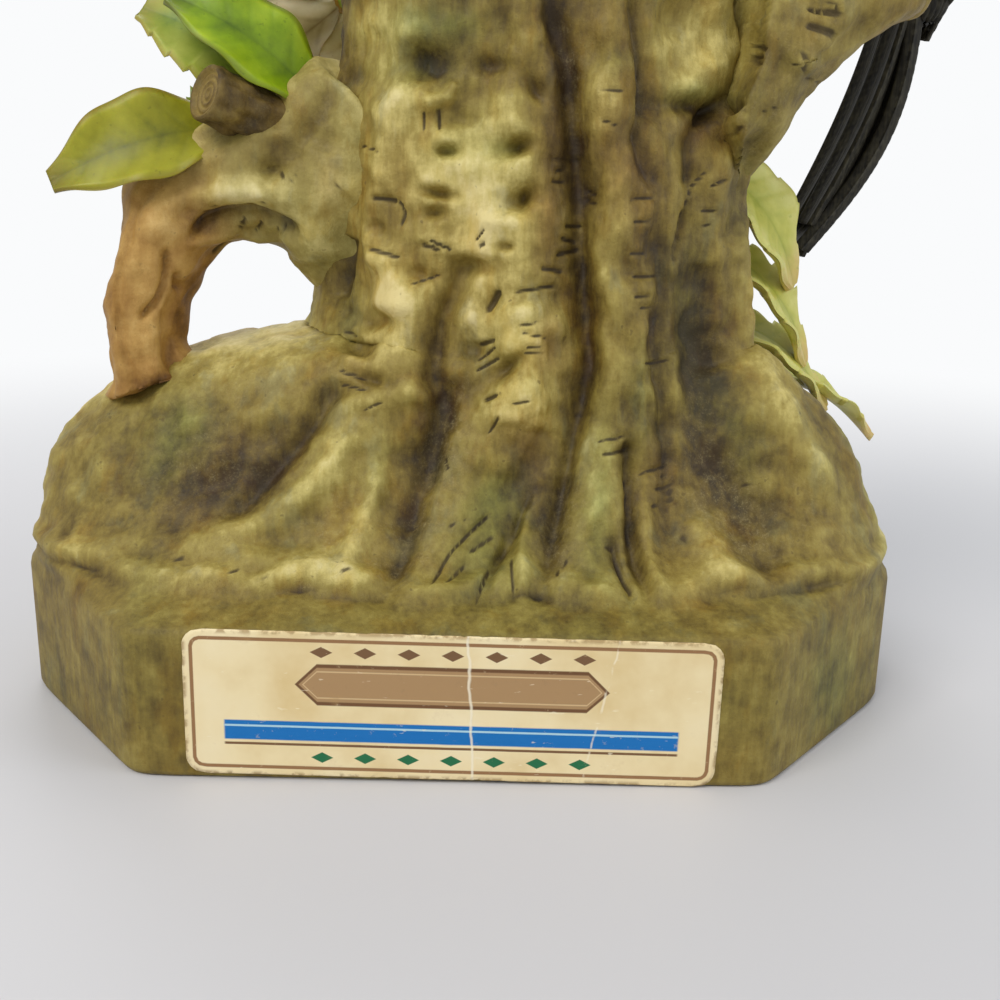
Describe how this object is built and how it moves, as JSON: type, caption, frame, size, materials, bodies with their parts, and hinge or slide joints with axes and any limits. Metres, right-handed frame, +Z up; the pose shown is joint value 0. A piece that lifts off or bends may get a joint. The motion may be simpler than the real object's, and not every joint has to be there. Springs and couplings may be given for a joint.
{
  "type": "figural liquor decanter",
  "caption": "Hollow porcelain tree trunk on a faceted plinth, with an arched limb, leaves, a blossom, a clinging dark bird and a lift-off trunk-top stopper with a cork.",
  "frame": {"origin": "middle of the flat foot, on the surface that the decanter stands on", "axes": "+Z up along the trunk; -Y out of the labelled flat facet; +X towards the bird"},
  "size_m": [0.1889, 0.1063, 0.2903],
  "materials": {
    "trunk_bisque": "satin painted bisque porcelain, olive brown",
    "limb_bisque": "satin painted bisque porcelain, tan",
    "stopper_bisque": "satin painted bisque porcelain, olive brown",
    "cork": "natural cork",
    "label_paper": "aged cream paper with a brown border",
    "leaf_green": "painted porcelain, bright green",
    "leaf_pale": "painted porcelain, pale yellow green",
    "petal_cream": "painted porcelain, cream",
    "blossom_heart": "painted porcelain, ochre",
    "feather_black": "painted porcelain, near black",
    "feather_crest": "painted porcelain, red",
    "bill_horn": "painted porcelain, horn",
    "bird_foot": "painted porcelain, grey brown"
  },
  "bodies": {
    "decanter": {"vessel_body": "trunk_bisque", "vessel_neck": "trunk_bisque", "left_limb": "limb_bisque", "limb_stub": "limb_bisque", "right_limb": "trunk_bisque", "paper_label": "label_paper", "left_leaf_bright": "leaf_green", "left_leaf_olive": "leaf_green", "left_leaf_lower": "leaf_pale", "left_leaf_far": "leaf_green", "right_leaf_top": "leaf_pale", "right_leaf_middle": "leaf_pale", "right_leaf_low": "leaf_pale", "right_leaf_foot": "leaf_pale", "blossom_stalk": "leaf_green", "blossom_heart": "blossom_heart", "blossom_petal_1": "petal_cream", "blossom_petal_2": "petal_cream", "blossom_petal_3": "petal_cream", "blossom_petal_4": "petal_cream", "blossom_petal_5": "petal_cream", "blossom_petal_6": "petal_cream", "bird_body": "feather_black", "bird_head": "feather_black", "bird_bill": "bill_horn", "bird_crest": "feather_crest", "bird_tail": "feather_black", "bird_wing_left": "feather_black", "bird_wing_right": "feather_black", "bird_foot_left": "bird_foot", "bird_foot_right": "bird_foot"},
    "stopper": {"stopper_top": "stopper_bisque", "stopper_cork": "cork"}
  },
  "joints": [
    {"name": "stopper_lift", "type": "slide", "parent": "decanter", "child": "stopper", "axis": [0, 0, 1], "range_m": [0, 0.06]}
  ]
}
